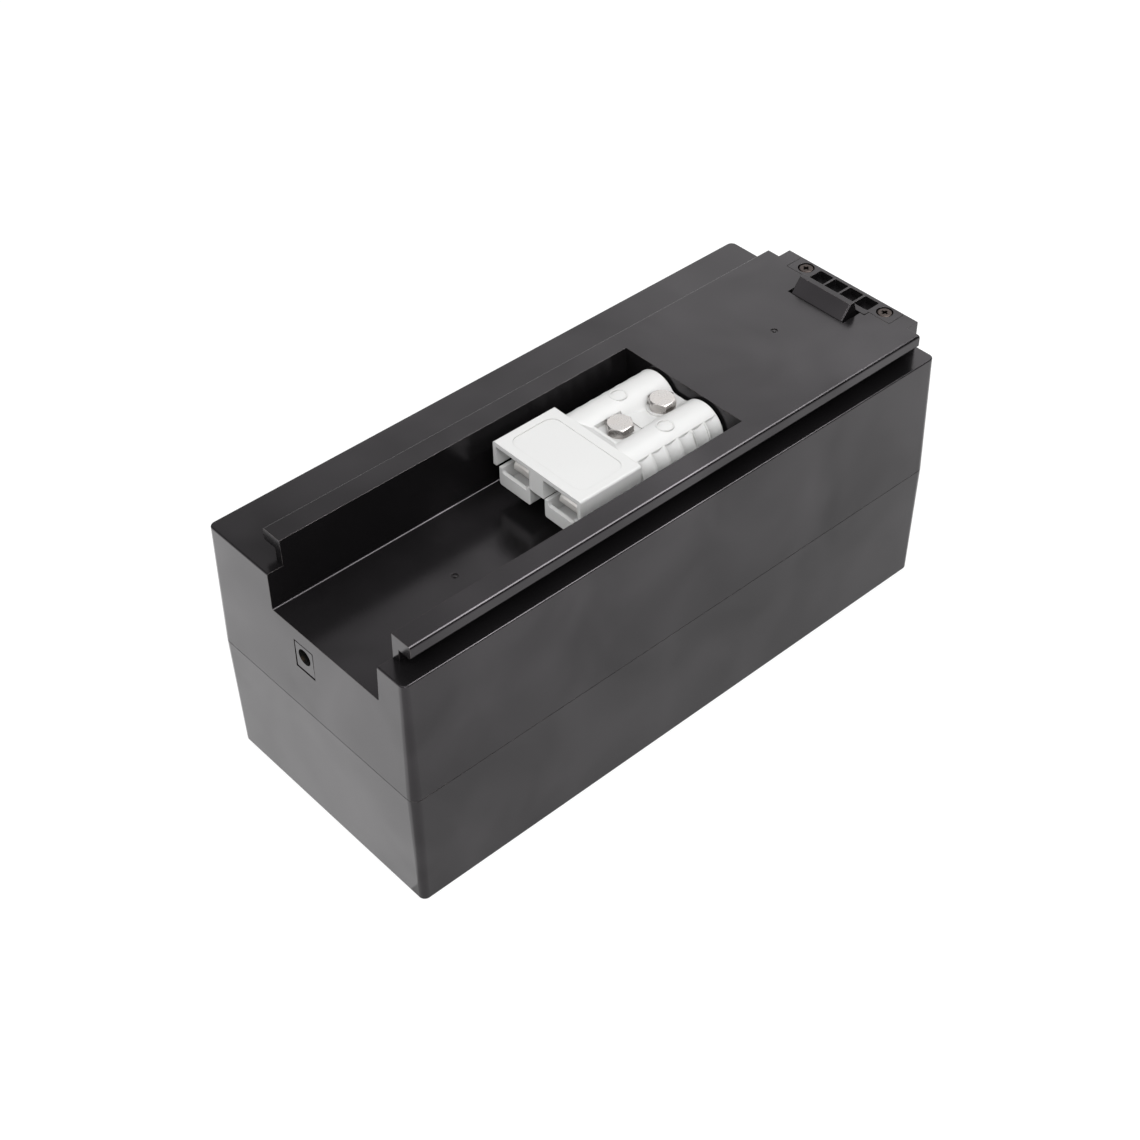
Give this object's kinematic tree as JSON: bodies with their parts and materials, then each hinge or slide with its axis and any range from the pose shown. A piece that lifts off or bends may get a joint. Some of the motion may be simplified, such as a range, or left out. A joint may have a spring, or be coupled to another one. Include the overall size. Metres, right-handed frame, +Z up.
{
  "type": "slide-in battery pack",
  "caption": "Slide-in battery pack with T-rails on its lid, a two-pole power connector in an open bay, a charge socket and a sprung latch.",
  "frame": {"origin": "centre of the case's underside", "axes": "+Z up through the lid with the rails, +Y along the case to the tail with the latch, -Y to the nose with the charge socket and the mouth of the connector bay"},
  "size_m": [0.106, 0.25, 0.1191],
  "materials": {
    "case_plastic": "satin moulded grey-black, fine spark texture",
    "latch_plastic": "satin moulded grey-black",
    "connector_plastic": "smooth moulded light grey",
    "seal_rubber": "soft black cord",
    "grommet_rubber": "matte black",
    "screw_steel": "dark plated",
    "stainless_steel": "cold-formed stainless",
    "spring_steel": "bright drawn wire",
    "silver_plate": "silver-plated copper",
    "brass": "turned",
    "cable_black": "silicone jacket",
    "cable_red": "silicone jacket",
    "wire_ribbon": "flat sense cable",
    "plug_white": "natural nylon",
    "socket_plastic": "black nylon",
    "cell_can": "shrink-sleeved can",
    "holder_plastic": "black flame-retardant plastic",
    "nickel": "nickel strip",
    "foam": "closed-cell foam",
    "insulation_sheet": "fibre sheet",
    "circuit_board": "green solder mask",
    "transistor_epoxy": "moulded epoxy",
    "heat_spreader": "extruded",
    "fuse_plastic": "moulded thermoset"
  },
  "bodies": {
    "case": {"upper_case": "case_plastic", "lower_case": "case_plastic", "case_seal": "seal_rubber", "case_screws": "screw_steel", "latch_springs": "spring_steel", "latch_cover": "latch_plastic", "latch_cover_screws": "screw_steel", "connector_housing": "connector_plastic", "contact_negative": "silver_plate", "contact_positive": "silver_plate", "contact_springs": "spring_steel", "connector_bolts": "stainless_steel", "connector_washers": "stainless_steel", "connector_inserts": "brass", "cable_grommets": "grommet_rubber", "negative_cable": "cable_black", "positive_cable": "cable_red", "socket_body": "socket_plastic", "socket_pin": "brass", "socket_tabs": "brass", "charge_lead": "wire_ribbon", "charge_plug": "plug_white", "cells": "cell_can", "lower_cell_holder": "holder_plastic", "upper_cell_holder": "holder_plastic", "lower_strips": "nickel", "upper_strips": "nickel", "foam_pad": "foam", "lower_insulation": "insulation_sheet", "upper_insulation": "insulation_sheet", "bms_board": "circuit_board", "bms_screws": "screw_steel", "bms_transistors": "transistor_epoxy", "bms_heat_spreader": "heat_spreader", "balance_plug": "plug_white", "balance_harness": "wire_ribbon", "fuse": "fuse_plastic", "fuse_link": "brass", "negative_lead": "cable_black"},
    "latch": {"latch": "latch_plastic"}
  },
  "joints": [
    {"name": "latch_press", "type": "slide", "parent": "case", "child": "latch", "axis": [0, 0, 1], "range_m": [-0.005, 0], "stiffness_N_per_m": 800, "springref_m": 0.004, "deforming": ["latch_springs"]}
  ]
}
